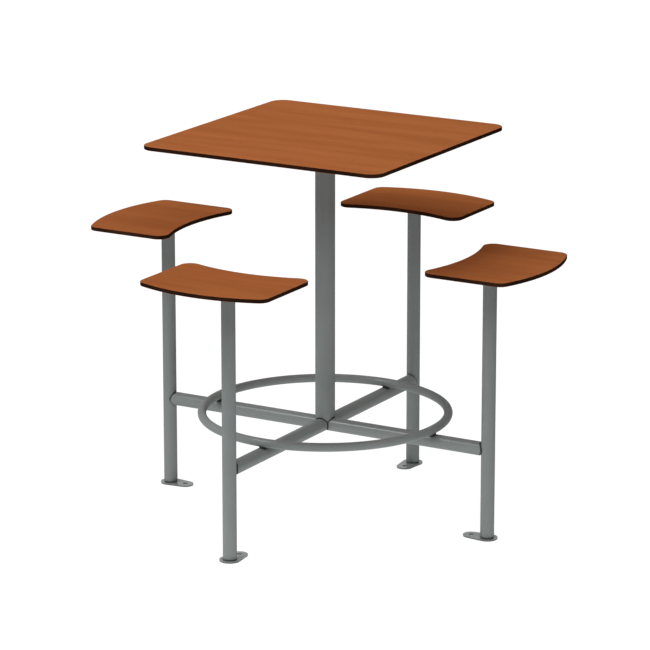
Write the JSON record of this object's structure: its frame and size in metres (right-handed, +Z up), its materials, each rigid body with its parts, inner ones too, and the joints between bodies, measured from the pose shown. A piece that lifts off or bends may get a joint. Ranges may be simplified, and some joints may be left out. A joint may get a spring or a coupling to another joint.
{
  "type": "table with attached swivel seats",
  "caption": "Square bar-height table on a welded tube frame with attached backless swivel seats, a round foot ring and floor-anchor plates.",
  "frame": {"origin": "on the floor, on the centre post's axis", "axes": "+Z up the centre post; +X towards the right seat and -Y towards the front seat; the boards' grain runs along X"},
  "size_m": [1.3688, 1.3688, 1.067],
  "materials": {
    "board": "satin woodgrain laminate with a near-black core at the edge",
    "frame_coat": "satin grey powder coat",
    "weld_seam": "dark rough weld metal with thin coating",
    "bare_steel": "turned",
    "zinc": "zinc plated",
    "bush_plastic": "natural acetal"
  },
  "bodies": {
    "frame": {"tabletop": "board", "tabletop_plate": "frame_coat", "tabletop_screws": "zinc", "centre_post": "frame_coat", "foot_ring": "frame_coat", "hub_welds": "weld_seam", "post_welds": "weld_seam", "foot_welds": "weld_seam", "ring_welds": "weld_seam", "spoke_right": "frame_coat", "seat_post_right": "frame_coat", "foot_plate_right": "frame_coat", "bearing_sleeve_right": "bare_steel", "upper_bush_right": "bush_plastic", "lower_bush_right": "bush_plastic", "spoke_back": "frame_coat", "seat_post_back": "frame_coat", "foot_plate_back": "frame_coat", "bearing_sleeve_back": "bare_steel", "upper_bush_back": "bush_plastic", "lower_bush_back": "bush_plastic", "spoke_left": "frame_coat", "seat_post_left": "frame_coat", "foot_plate_left": "frame_coat", "bearing_sleeve_left": "bare_steel", "upper_bush_left": "bush_plastic", "lower_bush_left": "bush_plastic", "spoke_front": "frame_coat", "seat_post_front": "frame_coat", "foot_plate_front": "frame_coat", "bearing_sleeve_front": "bare_steel", "upper_bush_front": "bush_plastic", "lower_bush_front": "bush_plastic"},
    "seat_front": {"spindle_front": "bare_steel", "thrust_washer_front": "bare_steel", "retaining_ring_front": "bare_steel", "seat_plate_front": "frame_coat", "seat_screws_front": "zinc", "seat_board_front": "board"},
    "seat_right": {"spindle_right": "bare_steel", "thrust_washer_right": "bare_steel", "retaining_ring_right": "bare_steel", "seat_plate_right": "frame_coat", "seat_screws_right": "zinc", "seat_board_right": "board"},
    "seat_back": {"spindle_back": "bare_steel", "thrust_washer_back": "bare_steel", "retaining_ring_back": "bare_steel", "seat_plate_back": "frame_coat", "seat_screws_back": "zinc", "seat_board_back": "board"},
    "seat_left": {"spindle_left": "bare_steel", "thrust_washer_left": "bare_steel", "retaining_ring_left": "bare_steel", "seat_plate_left": "frame_coat", "seat_screws_left": "zinc", "seat_board_left": "board"}
  },
  "joints": [
    {"name": "seat_swivel_front", "type": "hinge", "parent": "frame", "child": "seat_front", "pos_m": [0, -0.5092, 0.7542], "axis": [0, 0, 1], "continuous": true},
    {"name": "seat_swivel_right", "type": "hinge", "parent": "frame", "child": "seat_right", "pos_m": [0.5092, 0, 0.7542], "axis": [0, 0, 1], "continuous": true},
    {"name": "seat_swivel_back", "type": "hinge", "parent": "frame", "child": "seat_back", "pos_m": [0, 0.5092, 0.7542], "axis": [0, 0, 1], "continuous": true},
    {"name": "seat_swivel_left", "type": "hinge", "parent": "frame", "child": "seat_left", "pos_m": [-0.5092, 0, 0.7542], "axis": [0, 0, 1], "continuous": true}
  ]
}
